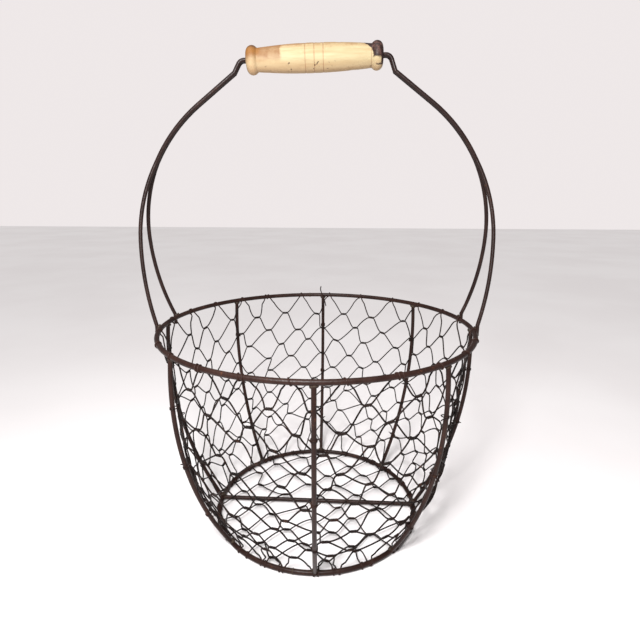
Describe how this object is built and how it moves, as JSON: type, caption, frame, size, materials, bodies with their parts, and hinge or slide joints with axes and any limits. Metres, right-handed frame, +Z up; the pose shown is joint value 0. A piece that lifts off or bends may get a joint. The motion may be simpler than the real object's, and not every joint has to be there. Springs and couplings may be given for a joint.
{
  "type": "egg collection basket",
  "caption": "Round egg basket: bowed wire ribs between a rim hoop and a smaller base ring, hexagonal wire netting inside, and a fixed double-wire bail with a spinning turned wooden grip.",
  "frame": {"origin": "on the ground plane, under the centre of the base ring and of the rim hoop", "axes": "+Z up; X runs left to right along the bar across the base ring; the front of the basket faces -Y"},
  "size_m": [0.2909, 0.268, 0.3949],
  "materials": {
    "frame_wire": "rust-brown baked paint on steel wire, satin, worn thin on the hoops",
    "bail_wire": "rust-brown baked paint on steel wire, satin",
    "netting_wire": "dark brown, slightly rusted thin wire, matt",
    "grip_wood": "pale turned hardwood, worn smooth, with brown and black stains"
  },
  "bodies": {
    "basket": {"rim_hoop": "frame_wire", "base_ring": "frame_wire", "rib_right": "frame_wire", "rib_back_right": "frame_wire", "rib_back": "frame_wire", "rib_back_left": "frame_wire", "rib_left": "frame_wire", "rib_front_left": "frame_wire", "rib_front": "frame_wire", "rib_front_right": "frame_wire", "floor_cross_bar": "frame_wire", "bail_wire_front": "bail_wire", "bail_wire_back": "bail_wire", "wall_netting": "netting_wire", "floor_netting": "netting_wire", "rib_ties": "netting_wire"},
    "grip": {"wooden_grip": "grip_wood"}
  },
  "joints": [
    {"name": "grip_spin", "type": "hinge", "parent": "basket", "child": "grip", "pos_m": [-0.00213, 0.00792, 0.38299], "axis": [0.9987, 0.0384, 0.0332], "continuous": true}
  ]
}
